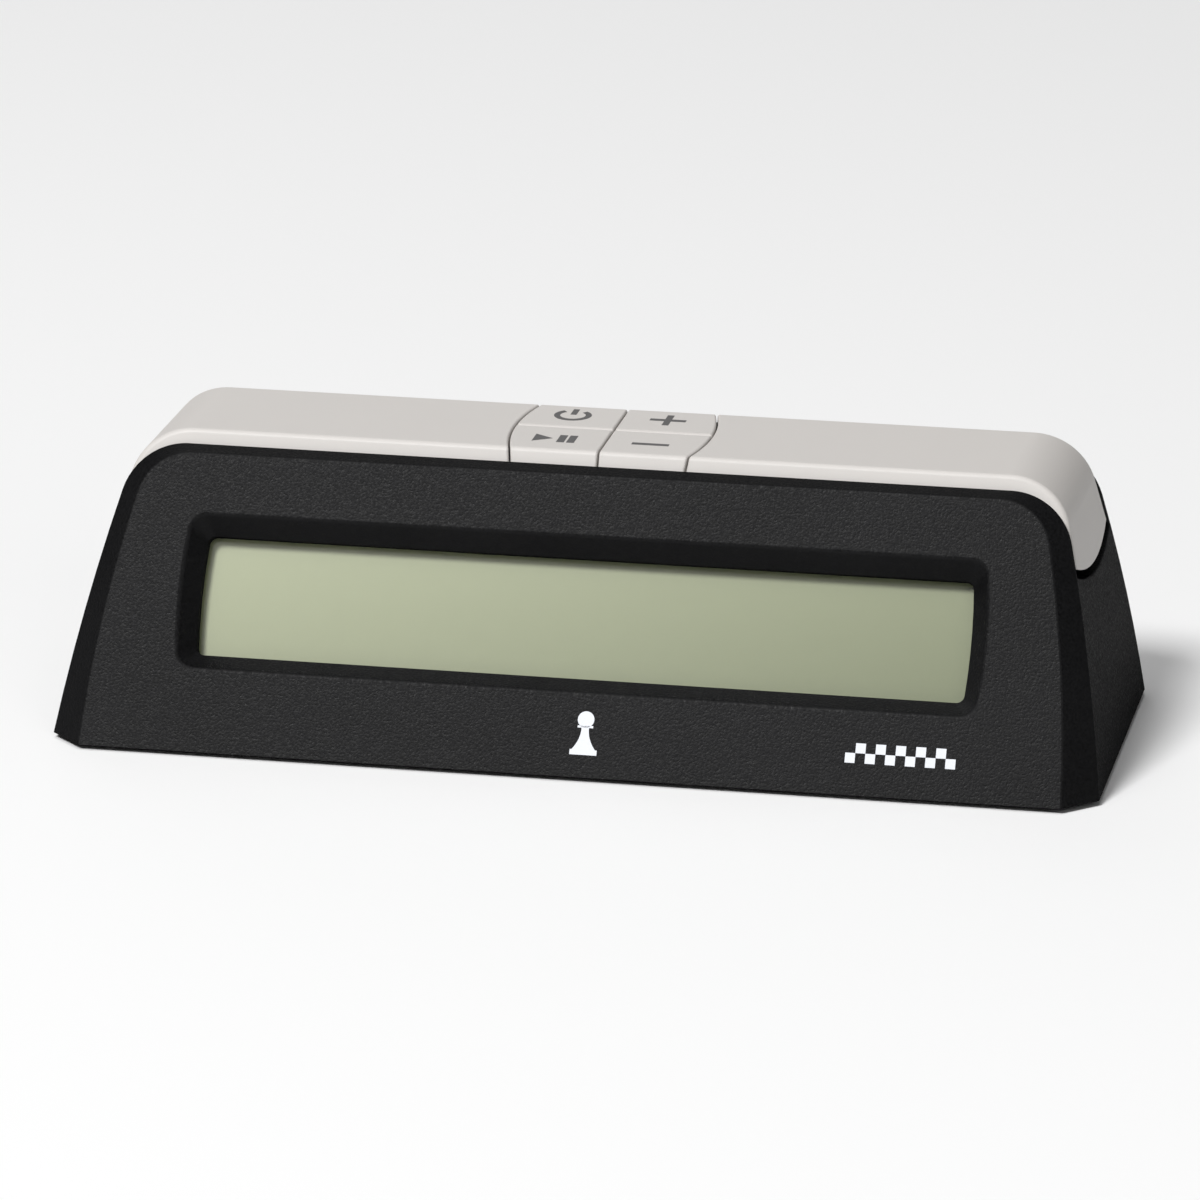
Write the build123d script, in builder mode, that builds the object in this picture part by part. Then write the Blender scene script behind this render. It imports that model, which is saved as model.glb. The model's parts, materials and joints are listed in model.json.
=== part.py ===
"""Digital chess clock: wedge case, slanted display, one-piece rocker lever and four buttons.

Millimetres.  X runs along the case, Y from the display side to the back, Z up.
The origin is the middle of the footprint, at the level that the rubber feet stand on.
Heights called `h` are measured from the underside of the case.
"""
from build123d import *
from math import hypot
import os

os.makedirs("parts", exist_ok=True)

# ---------------------------------------------------------------- driving dimensions
HALF_LENGTH = 77.0        # case underside, half of its length
HALF_DEPTH = 29.5         # case underside, half of its depth
CASE_TOP = 39.4           # ledges beside the lever
FACE_TOP = 38.85          # top of the display face
LEVER_TOP = 41.1
FOOT_RISE = 0.8           # how far the feet hold the case off the table
WALL = 2.0

FACE_LEAN = 0.552         # display face: mm back for each mm of height
SIDE_LEAN = 0.142         # side faces lean in ...
SIDE_BOW = 0.002          # ... and bow outwards on the way up
BAND_Y, BAND_LEAN = -24.9, 0.49      # back edge of the front chamfer band
TAIL_Y, TAIL_LEAN = 26.3, -0.148     # front edge of the rear chamfer band
BACK_LEAN = -0.185                   # rear face
FACE_INSETS = (4.9, 3.3, 2.7)        # front band's width along X: foot, middle, top
BACK_INSETS = (3.6, 2.6, 2.2)
SHOULDER = 9.6            # rounding of the case's top corners
TAIL_SHOULDER = 11.0      # at the rear chamfer band
FACE_SHOULDER = 8.0

FREE = 0.35               # gap behind the lever
FREE_FRONT = 0.6          # in front of the lever, whose leaning face comes forward as a wing goes up
CAP_FREE = 0.25           # round each button
LEDGE_FRONT, LEDGE_REAR = 1.2, 1.0   # case rim left in front of and behind the lever
SKIN = 2.0                # lever wall
TONGUE_Y, TONGUE_LOW, TONGUE_RADIUS = 8.0, 26.2, 48.5
TONGUE_DROP = 1.2         # room under each tongue for the lever's rock

TROUGH_FLOOR = 36.5       # under the lever's wings
TROUGH_SIDE = 2.5         # depth of the recess that each tongue lies in
SADDLE = 1.8              # wall under the trough
POCKET_HALF = 19.0        # deeper middle of the trough, for the lever's bridge
POCKET_FLOOR = 34.2
TRENCH_HALF, TRENCH_FLOOR = 4.4, 28.2     # slot for the pivot, under the pocket
PIVOT_Y, PIVOT_H = 7.6, 31.2
SHAFT_R, SHAFT_HALF = 1.25, 9.0
BUSH_R, BUSH_LONG = 2.2, 3.0
RUN = 0.03                # radial clearance of the running fits

CAP_ARC = 44.0            # radius of the curved sides of the button group
CAP_HALF = 14.6           # half-width of the button group, at its middle
CAP_Y = 7.9               # seam between the front and rear buttons
TRAVEL = 0.6              # button stroke
STEM_X, STEM_DY, STEM_R = 9.0, 5.4, 1.6

RECESS_LOW, RECESS_HIGH = 12.4, 35.3      # display recess, along the slope
RECESS_HALF, RECESS_BOW = 58.6, 0.7
WINDOW_HALF, WINDOW_BOW = 56.5, 0.4
RECESS_DEEP = 2.9
BEVEL_TOP, BEVEL_FOOT = 2.7, 2.45         # widths of its sloping sides
WINDOW_WALL = 1.3
EDGE_ROUND, RECESS_ROUND = 0.5, 0.8       # rounded edges of the case's end faces and of the recess
CAP_ROUND = 0.3           # edges where the buttons face each other and the lever, and the tongues' recesses
SEAM_ROUND = 0.75         # front edges of the rear buttons

LENS_DEPTH, LCD_DEPTH, BOARD_DEPTH = 4.25, 5.2, 10.4   # front faces, behind the display face
GLASS_HALF, GLASS_LOW, GLASS_HIGH = 58.0, 13.65, 34.05
BOARD_THICK = 1.6
SWITCH_BOARD_TOP = 25.5
SWITCH_BODY, SWITCH_TIP = 3.5, 4.9        # heights over the switch board
LEVER_SWITCH_X, SPRING_X = 42.0, 28.0
PLATE_UNDER, PLATE_TOP = 0.2, 2.2         # base plate
CELL_Y, CELL_H, CELL_R, CELL_HALF = 8.5, 10.4, 7.1, 25.25
BAY_LEFT, BAY_RIGHT, BAY_HALF, BAY_ROOF = -29.2, 26.3, 7.6, 18.0


# ---------------------------------------------------------------- reference geometry
def level(h):
    """Horizontal plane at height h over the case underside."""
    return Plane.XY.offset(FOOT_RISE + h)


def leaning(y_foot, lean, back=0.0):
    """Upright plane across the case that moves back by `lean` for each mm of height."""
    return Plane(origin=(0, y_foot + back, FOOT_RISE), x_dir=(1, 0, 0), z_dir=(0, -1, lean))


def half_width(h):
    """Half-length of the case at height h."""
    return HALF_LENGTH - SIDE_LEAN * h - SIDE_BOW * h * h


def screen(depth):
    """Plane parallel to the display face, `depth` behind it; local Y runs up the slope."""
    return leaning(-HALF_DEPTH, FACE_LEAN).offset(-depth)


def arch(y_foot, lean, top, radius, insets=(0, 0, 0), back=0.0, foot=0.0):
    """Case outline on a leaning plane: bowed sides, flat top and round shoulders."""
    heights = (foot, (foot + top) / 2, top)
    low, mid, high = [(half_width(h) - inset, h * hypot(1, lean)) for h, inset in zip(heights, insets)]
    with BuildSketch(leaning(y_foot, lean, back)) as outline:
        with BuildLine():
            Line((-low[0], low[1]), low)
            ThreePointArc(low, mid, high)
            Line(high, (-high[0], high[1]))
            ThreePointArc((-high[0], high[1]), (-mid[0], mid[1]), (-low[0], low[1]))
        make_face()
        fillet(outline.vertices().sort_by(Axis.Y)[-2:], radius)
    return outline.sketch


def slab(front, rear, top, radius, inset, foot=0.0):
    """Arch-shaped block between the front band plane + front and the rear one - rear."""
    insets = (inset, inset, inset)
    with BuildPart() as block:
        add(arch(BAND_Y, BAND_LEAN, top, radius, insets, front, foot))
        add(arch(TAIL_Y, TAIL_LEAN, top, radius, insets, -rear, foot))
        loft(ruled=True)
    return block.part


def tongue_cylinder(extra):
    """Cylinder along X whose underside is the curved lower edge of the tongues."""
    centre = TONGUE_LOW + TONGUE_RADIUS
    return Cylinder(TONGUE_RADIUS + extra, 3 * HALF_LENGTH, rotation=(0, 90, 0), mode=Mode.PRIVATE).move(
        Location((0, TONGUE_Y, FOOT_RISE + centre)))


def save(piece, name):
    piece.part.label = name
    export_step(piece.part, f"parts/{name}.step")


# ---------------------------------------------------------------- case shells
def shell_sections(wall):
    """The four outlines that bound the case, or its hollow when wall is not zero."""
    face = [inset + wall for inset in FACE_INSETS]
    back = [inset + wall for inset in BACK_INSETS]
    side = (wall, wall, wall)
    trim = 1.15 * wall        # the end faces lean, so the wall is longer along Y than it is thick
    corner = 0.6 * wall       # keeps the hollow's rear chamfer ahead of its rear face
    return (
        arch(-HALF_DEPTH, FACE_LEAN, FACE_TOP - wall, FACE_SHOULDER - wall / 2, face, trim),
        arch(BAND_Y, BAND_LEAN, CASE_TOP - wall, SHOULDER - wall / 2, side),
        arch(TAIL_Y, TAIL_LEAN, CASE_TOP - wall, TAIL_SHOULDER - wall / 2, side, -corner),
        arch(HALF_DEPTH, BACK_LEAN, FACE_TOP - wall, FACE_SHOULDER - wall / 2, back, -trim),
    )


OUTER = shell_sections(0)
INNER = shell_sections(WALL)
FRONT_BOSSES = [(-62, -21.3), (0, -21.3), (62, -21.3)]
REAR_BOSSES = [(-62, 24.0), (0, 24.0), (62, 24.0)]
FRONT_BOSS_TOP, REAR_BOSS_TOP = 7.0, 11.0
BOSS_R, SCREW_R = 2.8, 1.15
BOARD_POSTS = [(-62.3, 13.0), (62.3, 13.0), (-62.3, 33.0), (62.3, 33.0)]
POST_R, SMALL_SCREW_R = 2.2, 0.9
HANGERS = [(-46, 2.8), (46, 2.8), (-46, 15.2), (46, 15.2)]
STEMS = [(side * STEM_X, CAP_Y + row * STEM_DY) for row in (1, -1) for side in (-1, 1)]
SLIP = 0.02               # radial clearance between a screw and its pilot hole


def solid_between(sections):
    """Ruled loft through outlines that follow each other from front to back."""
    with BuildPart() as block:
        for section in sections:
            add(section)
        loft(ruled=True)
    return block.part


def bowed_outline(depth, half, bow, low, high, corner):
    """Display recess or window: straight top and foot, bowed ends."""
    with BuildSketch(screen(depth)) as outline:
        with BuildLine():
            Line((-half, low), (half, low))
            ThreePointArc((half, low), (half + bow, (low + high) / 2), (half, high))
            Line((half, high), (-half, high))
            ThreePointArc((-half, high), (-half - bow, (low + high) / 2), (-half, low))
        make_face()
        fillet(outline.vertices(), corner)
    return outline.sketch


def screen_block(depth, thick, half, low, high, mode=Mode.ADD):
    """Flat block parallel to the display face."""
    with BuildSketch(screen(depth)) as profile:
        with Locations((0, (low + high) / 2)):
            Rectangle(2 * half, high - low)
    extrude(profile.sketch, amount=-thick, mode=mode)


def pins(plane, points, radius, length, mode=Mode.ADD):
    """Round posts, bosses or holes: length is signed, along the plane's normal."""
    with BuildSketch(plane) as profile:
        with Locations(points):
            Circle(radius)
    extrude(profile.sketch, amount=length, mode=mode)


def bar(x_range, y_range, h_range, mode=Mode.ADD):
    """Straight-sided block given by its limits."""
    with BuildSketch(level(h_range[0])) as profile:
        with Locations((sum(x_range) / 2, sum(y_range) / 2)):
            Rectangle(x_range[1] - x_range[0], y_range[1] - y_range[0])
    extrude(profile.sketch, amount=h_range[1] - h_range[0], mode=mode)


def rounded_rim(end_face):
    """Edges round an end face of the case, apart from the one that it stands on."""
    return end_face.outer_wire().edges().sort_by(Axis.Z)[1:]


with BuildPart() as front_housing:
    add(solid_between(OUTER[:2]))
    add(solid_between(INNER[:2]), mode=Mode.SUBTRACT)
    pad = RECESS_DEEP + WINDOW_WALL
    screen_block(WALL / 2, pad - WALL / 2, RECESS_HALF + 2.3, RECESS_LOW - 1.6, RECESS_HIGH + 1.6)
    mouth = bowed_outline(0, RECESS_HALF, RECESS_BOW, RECESS_LOW, RECESS_HIGH, 2.6)
    window = bowed_outline(
        RECESS_DEEP, WINDOW_HALF, WINDOW_BOW, RECESS_LOW + BEVEL_FOOT, RECESS_HIGH - BEVEL_TOP, 1.2)
    loft([mouth, window], ruled=True, mode=Mode.SUBTRACT)
    extrude(window, amount=-2 * WINDOW_WALL, mode=Mode.SUBTRACT)
    display_face = front_housing.faces().filter_by(lambda face: face.area > 3000).sort_by(Axis.Y)[0]
    fillet(display_face.inner_wires()[0].edges(), RECESS_ROUND)
    display_face = front_housing.faces().filter_by(lambda face: face.area > 3000).sort_by(Axis.Y)[0]
    fillet(rounded_rim(display_face), EDGE_ROUND)
    pins(screen(BOARD_DEPTH), BOARD_POSTS, POST_R, BOARD_DEPTH - WALL / 2)
    pins(screen(BOARD_DEPTH), BOARD_POSTS, SMALL_SCREW_R + SLIP, 5.0, Mode.SUBTRACT)
    pins(level(PLATE_TOP + 0.05), FRONT_BOSSES, BOSS_R, FRONT_BOSS_TOP - PLATE_TOP)
    pins(level(PLATE_TOP), FRONT_BOSSES, SCREW_R + SLIP, 4.4, Mode.SUBTRACT)
save(front_housing, "front_housing")


# trough along the top of the rear shell, with a pocket and a trench for the lever's pivot
trough_front = LEDGE_FRONT - FREE_FRONT
trough_rear = LEDGE_REAR - FREE
SADDLE_FOOT = 22.0

with BuildPart() as saddle:
    add(slab(0, -0.3 * WALL, CASE_TOP - WALL / 4, SHOULDER, 0.8 * WALL))     # ends inside the walls
    add(slab(-5, -5, TROUGH_FLOOR - SADDLE, 7.0, TROUGH_SIDE + SADDLE), mode=Mode.SUBTRACT)
    bar((-90, 90), (-60, 60), (-1, SADDLE_FOOT), Mode.SUBTRACT)
    bar((-POCKET_HALF - 1.6, POCKET_HALF + 1.6), (-7.0, 20.2), (POCKET_FLOOR - SADDLE, TROUGH_FLOOR))
    bar((-TRENCH_HALF - 1.4, TRENCH_HALF + 1.4), (-3.8, 19.0), (TRENCH_FLOOR - 1.4, POCKET_FLOOR))
    pins(level(POCKET_FLOOR), STEMS, 2.8, -2.8)
    pins(level(TROUGH_FLOOR), [(-SPRING_X, CELL_Y), (SPRING_X, CELL_Y)], 3.9, -8.0)
    pins(level(TROUGH_FLOOR), HANGERS, POST_R, SWITCH_BOARD_TOP - TROUGH_FLOOR)

with BuildPart() as trough:
    add(slab(trough_front, trough_rear, LEVER_TOP + 4, SHOULDER, -5))
    add(slab(trough_front - 2, trough_rear - 2, TROUGH_FLOOR, 7.2, TROUGH_SIDE), mode=Mode.SUBTRACT)
    add(tongue_cylinder(TONGUE_DROP), mode=Mode.INTERSECT)

BEARINGS = (PIVOT_Y - SHAFT_HALF, PIVOT_Y + SHAFT_HALF - BUSH_LONG)    # front ends of the two bushes
PUSHERS = [(-LEVER_SWITCH_X, CELL_Y), (LEVER_SWITCH_X, CELL_Y)]

def tongue_recess_rim(edge):
    """True for the edges where the tongues' recesses break through the side faces."""
    middle = edge.center()
    h = middle.Z - FOOT_RISE
    on_side = h > TROUGH_FLOOR / 2 and abs(abs(middle.X) - half_width(h)) < 0.25
    return on_side and edge.length > 2 and BAND_Y / 2 < middle.Y < TAIL_Y - 3


with BuildPart() as rear_housing:
    add(solid_between(OUTER[1:]))
    fillet(rounded_rim(rear_housing.faces().sort_by(Axis.Y)[-1]), EDGE_ROUND)
    add(solid_between(INNER[1:]), mode=Mode.SUBTRACT)
    add(saddle.part)
    add(trough.part, mode=Mode.SUBTRACT)
    bar((-POCKET_HALF, POCKET_HALF), (-5.6, 19.2), (POCKET_FLOOR, TROUGH_FLOOR + 0.5), Mode.SUBTRACT)
    trench = (PIVOT_Y - SHAFT_HALF + BUSH_LONG, PIVOT_Y + SHAFT_HALF - BUSH_LONG)
    bar((-TRENCH_HALF, TRENCH_HALF), trench, (TRENCH_FLOOR, POCKET_FLOOR + 0.1), Mode.SUBTRACT)
    for start in BEARINGS:
        with BuildSketch(Plane.XZ.offset(-start)):
            with Locations((0, FOOT_RISE + PIVOT_H)):
                Circle(BUSH_R + SLIP)
            with Locations((0, FOOT_RISE + PIVOT_H + 2.0)):
                Rectangle(2 * BUSH_R + 2 * SLIP, 4.0)
        extrude(amount=-BUSH_LONG, mode=Mode.SUBTRACT)
    pins(level(TROUGH_FLOOR), STEMS, STEM_R + 0.08, -8.0, Mode.SUBTRACT)
    pins(level(TROUGH_FLOOR), [(-SPRING_X, CELL_Y), (SPRING_X, CELL_Y)], 2.9, -6.5, Mode.SUBTRACT)
    for x, y in PUSHERS:
        bar((x - 1.8, x + 1.8), (y - 3.2, y + 3.2), (TROUGH_FLOOR - 4, TROUGH_FLOOR + 1), Mode.SUBTRACT)
    pins(level(SWITCH_BOARD_TOP), HANGERS, SMALL_SCREW_R + SLIP, 5.0, Mode.SUBTRACT)
    pins(level(PLATE_TOP + 0.05), REAR_BOSSES, BOSS_R, REAR_BOSS_TOP - PLATE_TOP)
    pins(level(PLATE_TOP), REAR_BOSSES, SCREW_R + SLIP, 4.4, Mode.SUBTRACT)
    fillet(rear_housing.edges().filter_by(tongue_recess_rim), CAP_ROUND)
save(rear_housing, "rear_housing")


# ---------------------------------------------------------------- base plate and battery door
EDGE = 0.15               # gap between the base plate and the shells
DOOR_RIM = 1.0            # step that the battery door lies on
FEET = [(-69.0, -18.5), (69.0, -18.5), (-69.0, 19.0), (69.0, 19.0)]
FOOT_R, FOOT_SUNK = 4.2, 0.8

with BuildPart() as base_plate:
    with BuildSketch(level(PLATE_UNDER)):
        inset = WALL + EDGE
        with BuildLine():
            Polyline(
                (-HALF_LENGTH + FACE_INSETS[0] + inset, -HALF_DEPTH + 1.75 * inset),
                (-HALF_LENGTH + 1.25 * inset, BAND_Y + 0.9 * inset),
                (-HALF_LENGTH + 1.25 * inset, TAIL_Y - 0.7 * inset),
                (-HALF_LENGTH + BACK_INSETS[0] + inset, HALF_DEPTH - 1.4 * inset),
                (HALF_LENGTH - BACK_INSETS[0] - inset, HALF_DEPTH - 1.4 * inset),
                (HALF_LENGTH - 1.25 * inset, TAIL_Y - 0.7 * inset),
                (HALF_LENGTH - 1.25 * inset, BAND_Y + 0.9 * inset),
                (HALF_LENGTH - FACE_INSETS[0] - inset, -HALF_DEPTH + 1.75 * inset),
                close=True,
            )
        make_face()
    extrude(amount=PLATE_TOP - PLATE_UNDER)
    bay_wall = 1.5
    cell_front, cell_rear = CELL_Y - BAY_HALF, CELL_Y + BAY_HALF
    bar((BAY_LEFT - bay_wall, BAY_RIGHT + bay_wall), (cell_front - bay_wall, cell_rear + bay_wall),
        (PLATE_UNDER, BAY_ROOF + 1.2))
    bar((BAY_LEFT, BAY_RIGHT), (cell_front, cell_rear), (PLATE_UNDER, BAY_ROOF), Mode.SUBTRACT)
    bar((BAY_LEFT - DOOR_RIM, BAY_RIGHT + DOOR_RIM), (cell_front - DOOR_RIM, cell_rear + DOOR_RIM),
        (PLATE_UNDER, PLATE_UNDER + 1.2), Mode.SUBTRACT)
    for x in (BAY_LEFT - bay_wall / 2, BAY_RIGHT + bay_wall / 2):
        bar((x - 1.0, x + 1.0), (CELL_Y - 2.2, CELL_Y + 2.2), (BAY_ROOF - 3.4, BAY_ROOF - 2.4), Mode.SUBTRACT)
    pins(level(PLATE_UNDER), FRONT_BOSSES + REAR_BOSSES, SCREW_R + 0.15, PLATE_TOP, Mode.SUBTRACT)
    pins(level(PLATE_UNDER), FRONT_BOSSES + REAR_BOSSES, 2.5, 1.2, Mode.SUBTRACT)
    pins(level(PLATE_UNDER), FEET, FOOT_R + 0.05, FOOT_SUNK, Mode.SUBTRACT)
    with BuildSketch(level(PLATE_UNDER)):
        with Locations((48, -4)):
            with GridLocations(2.6, 0, 5, 1):
                SlotOverall(9.0, 1.1, rotation=90)
    extrude(amount=PLATE_TOP, mode=Mode.SUBTRACT)
save(base_plate, "base_plate")

with BuildPart() as battery_door:
    gap = 0.2
    bar((BAY_LEFT - DOOR_RIM + gap, BAY_RIGHT + DOOR_RIM - gap),
        (cell_front - DOOR_RIM + gap, cell_rear + DOOR_RIM - gap), (PLATE_UNDER, PLATE_UNDER + 1.15))
    fillet(battery_door.edges().filter_by(Axis.Z), 0.6)
    bar((BAY_LEFT + gap, BAY_RIGHT - gap), (cell_front + gap, cell_rear - gap), (1.2, PLATE_TOP))
    with BuildSketch(level(PLATE_UNDER)):
        with Locations((BAY_RIGHT - 6.0, CELL_Y)):
            with GridLocations(2.0, 0, 3, 1):
                SlotOverall(8.0, 0.9, rotation=90)
    extrude(amount=0.5, mode=Mode.SUBTRACT)
save(battery_door, "battery_door")

with BuildPart() as rubber_feet:
    with BuildSketch(Plane.XY):
        with Locations(FEET):
            Circle(FOOT_R)
    extrude(amount=FOOT_RISE + PLATE_UNDER + FOOT_SUNK)
    fillet(rubber_feet.edges().group_by(Axis.Z)[0], 0.5)
save(rubber_feet, "rubber_feet")

with BuildPart() as base_screws:
    pins(level(PLATE_UNDER + 0.1), FRONT_BOSSES + REAR_BOSSES, 2.3, 1.1)
    pins(level(1.3), FRONT_BOSSES + REAR_BOSSES, SCREW_R, 5.0)
    pins(level(PLATE_UNDER + 0.1), FRONT_BOSSES + REAR_BOSSES, 0.9, 0.7, Mode.SUBTRACT)
save(base_screws, "base_screws")


# ---------------------------------------------------------------- rocker lever and its pivot
FLANGE_H = 38.1           # lower edge of the lever's front and rear walls
BRIDGE = (34.8, 37.1)     # web that joins the two wings under the buttons
FRONT_ROUND, REAR_ROUND = 0.9, 0.7


def lever_blank():
    """Solid block with the outer shape shared by the lever and the buttons."""
    return slab(LEDGE_FRONT, LEDGE_REAR, LEVER_TOP, SHOULDER - 0.3, 0.12)


def button_group(margin):
    """Plan of the four buttons together: straight front and rear, curved ends."""
    with BuildSketch(level(0)) as plan:
        with Locations((CAP_HALF - CAP_ARC, CAP_Y)):
            Circle(CAP_ARC + margin)
        with Locations((CAP_ARC - CAP_HALF, CAP_Y)):
            Circle(CAP_ARC + margin, mode=Mode.INTERSECT)
        with Locations((0, CAP_Y)):
            Rectangle(4 * CAP_HALF, 40, mode=Mode.INTERSECT)
    return plan.sketch


with BuildPart() as rocker_lever:
    add(lever_blank())
    ends = rocker_lever.faces().sort_by(Axis.Y)
    fillet(ends[0].edges().sort_by(Axis.Z)[1:], FRONT_ROUND)
    rear_face = rocker_lever.faces().sort_by(Axis.Y)[-1]
    fillet(rear_face.edges().sort_by(Axis.Z)[1:], REAR_ROUND)
    add(tongue_cylinder(0), mode=Mode.INTERSECT)
    add(slab(-5, -5, FLANGE_H, 7.4, SKIN), mode=Mode.SUBTRACT)
    wall = LEDGE_FRONT + 1.6
    add(slab(wall, LEDGE_REAR + 1.6, LEVER_TOP - SKIN, 7.4, 1.2 * SKIN), mode=Mode.SUBTRACT)
    extrude(button_group(CAP_FREE), amount=60, mode=Mode.SUBTRACT)
    wing_tops = rocker_lever.faces().sort_by(Axis.Z)[-2:]
    fillet([top.edges().sort_by(lambda edge: abs(edge.center().X))[0] for top in wing_tops], CAP_ROUND)
    for side in (-1, 1):
        inner, outer = CAP_HALF + CAP_FREE + 0.2, CAP_HALF + CAP_FREE + 1.8
        bar(sorted((side * inner, side * outer)), (-2.6, 17.0), (BRIDGE[0], LEVER_TOP - SKIN + 0.2))
        x = side * LEVER_SWITCH_X
        push_foot = SWITCH_BOARD_TOP + SWITCH_TIP + 0.7
        bar((x - 1.0, x + 1.0), (CELL_Y - 2.4, CELL_Y + 2.4), (push_foot, LEVER_TOP - SKIN + 0.2))
        pins(level(LEVER_TOP - SKIN + 0.2), [(side * SPRING_X, CELL_Y)], 1.5, -3.4)
    bar((-CAP_HALF - CAP_FREE - 1.0, CAP_HALF + CAP_FREE + 1.0), (-2.6, 17.0), BRIDGE)
    pins(level(BRIDGE[0] - 1), STEMS, STEM_R + 0.9, 5.0, Mode.SUBTRACT)
    barrel = SHAFT_HALF - BUSH_LONG - 0.3
    with BuildSketch(Plane.XZ.offset(barrel - PIVOT_Y)) as hub:
        with Locations((0, FOOT_RISE + PIVOT_H)):
            Circle(2.5)
        with Locations((0, FOOT_RISE + (PIVOT_H + BRIDGE[1]) / 2)):
            Rectangle(3.2, BRIDGE[1] - PIVOT_H)
        with Locations((0, FOOT_RISE + PIVOT_H)):
            Circle(SHAFT_R + RUN, mode=Mode.SUBTRACT)
    extrude(hub.sketch, amount=-2 * barrel)
save(rocker_lever, "rocker_lever")

with BuildPart() as pivot_shaft:
    with BuildSketch(Plane.XZ.offset(SHAFT_HALF - PIVOT_Y)):
        with Locations((0, FOOT_RISE + PIVOT_H)):
            Circle(SHAFT_R)
    extrude(amount=-2 * SHAFT_HALF)
    chamfer(pivot_shaft.edges(), 0.2)
save(pivot_shaft, "pivot_shaft")

with BuildPart() as pivot_bushes:
    for start in BEARINGS:
        with BuildSketch(Plane.XZ.offset(-start)):
            with Locations((0, FOOT_RISE + PIVOT_H)):
                Circle(BUSH_R)
                Circle(SHAFT_R + RUN, mode=Mode.SUBTRACT)
        extrude(amount=-BUSH_LONG)
save(pivot_bushes, "pivot_bushes")

with BuildPart() as pivot_keepers:
    for start in BEARINGS:
        with BuildSketch(Plane.XZ.offset(-start)):
            with Locations((0, FOOT_RISE + PIVOT_H + 1.5)):
                Rectangle(2 * BUSH_R, 2 * (POCKET_FLOOR - PIVOT_H) - 3.0)
            with Locations((0, FOOT_RISE + PIVOT_H)):
                Circle(BUSH_R + SLIP, mode=Mode.SUBTRACT)
            with Locations((0, FOOT_RISE + PIVOT_H - 5)):
                Rectangle(10, 10, mode=Mode.SUBTRACT)
        extrude(amount=-BUSH_LONG)
save(pivot_keepers, "pivot_keepers")

SPRING_WIRE, SPRING_R = 0.25, 2.2
SPRING_ROOM = 0.5         # the lever's wing comes down this much before it lies on its spring
SPRING_SEAT, SPRING_HEAD = TROUGH_FLOOR - 6.5, LEVER_TOP - SKIN - SPRING_ROOM
with BuildPart() as lever_springs:
    for side in (-1, 1):
        foot = FOOT_RISE + SPRING_SEAT + SPRING_WIRE + 0.05
        height = SPRING_HEAD - SPRING_SEAT - 2 * SPRING_WIRE - 0.1
        coil = Helix(height / 5, height, SPRING_R, center=(side * SPRING_X, CELL_Y, foot))
        with BuildSketch(Plane(coil @ 0, z_dir=coil % 0)) as wire:
            Circle(SPRING_WIRE)
        sweep(wire.sketch, path=coil)
save(lever_springs, "lever_springs")


# ---------------------------------------------------------------- buttons
CAP_NAMES = {(-1, 1): "power_button", (1, 1): "plus_button",
             (-1, -1): "play_pause_button", (1, -1): "minus_button"}

for (side, row), name in CAP_NAMES.items():
    with BuildPart() as cap:
        add(lever_blank())
        extrude(button_group(0), amount=60, mode=Mode.INTERSECT)
        near, far = CAP_FREE / 2, HALF_DEPTH
        bar(sorted((side * near, side * far)), sorted((CAP_Y + row * near, CAP_Y + row * far)),
            (FLANGE_H, LEVER_TOP + 1), Mode.INTERSECT)
        rim = cap.faces().sort_by(Axis.Z)[-1].edges().sort_by(Axis.Y)
        fillet(rim[0] if row < 0 else rim[-1], FRONT_ROUND if row < 0 else REAR_ROUND)
        rim = cap.faces().sort_by(Axis.Z)[-1].edges().sort_by(Axis.Y)
        if row < 0:
            fillet(rim[1:], CAP_ROUND)
        else:
            fillet(rim[0], SEAM_ROUND)
            rim = cap.faces().sort_by(Axis.Z)[-1].edges().sort_by(Axis.Y)
            fillet(rim[1:-1], CAP_ROUND)
        stem_x, stem_y = side * STEM_X, CAP_Y + row * STEM_DY
        pins(level(SWITCH_BOARD_TOP + SWITCH_TIP + TRAVEL + 0.05), [(stem_x, stem_y)], STEM_R, 9.0)
    save(cap, name)


# ---------------------------------------------------------------- display stack, behind the window
ZEBRA_LOW, ZEBRA_HIGH, ZEBRA_THICK = 14.0, 32.1, 1.6
LCD_THICK = 2.2

with BuildPart() as display_lens:
    screen_block(LENS_DEPTH, LCD_DEPTH - LENS_DEPTH - 0.05, GLASS_HALF, GLASS_LOW, GLASS_HIGH)
save(display_lens, "display_lens")

with BuildPart() as lcd_panel:
    screen_block(LCD_DEPTH, LCD_THICK / 2, GLASS_HALF, GLASS_LOW, GLASS_HIGH)
    screen_block(LCD_DEPTH + LCD_THICK / 2, LCD_THICK / 2, GLASS_HALF, GLASS_LOW - 0.1, GLASS_HIGH + 0.1)
save(lcd_panel, "lcd_panel")

with BuildPart() as lcd_frame:
    frame_deep = BOARD_DEPTH - LENS_DEPTH - 0.05
    screen_block(LENS_DEPTH, frame_deep, GLASS_HALF + 1.7, GLASS_LOW - 1.5, GLASS_HIGH + 1.5)
    screen_block(LENS_DEPTH, frame_deep, GLASS_HALF + 0.1, GLASS_LOW - 0.2, GLASS_HIGH + 0.2, Mode.SUBTRACT)
    for side in (-1, 1):
        with BuildSketch(screen(LCD_DEPTH + LCD_THICK + 0.05)):
            with Locations((side * (GLASS_HALF - 1.2), (GLASS_LOW + GLASS_HIGH) / 2)):
                Rectangle(3.0, GLASS_HIGH - GLASS_LOW + 0.8)
        extrude(amount=-1.5)
save(lcd_frame, "lcd_frame")

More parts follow.
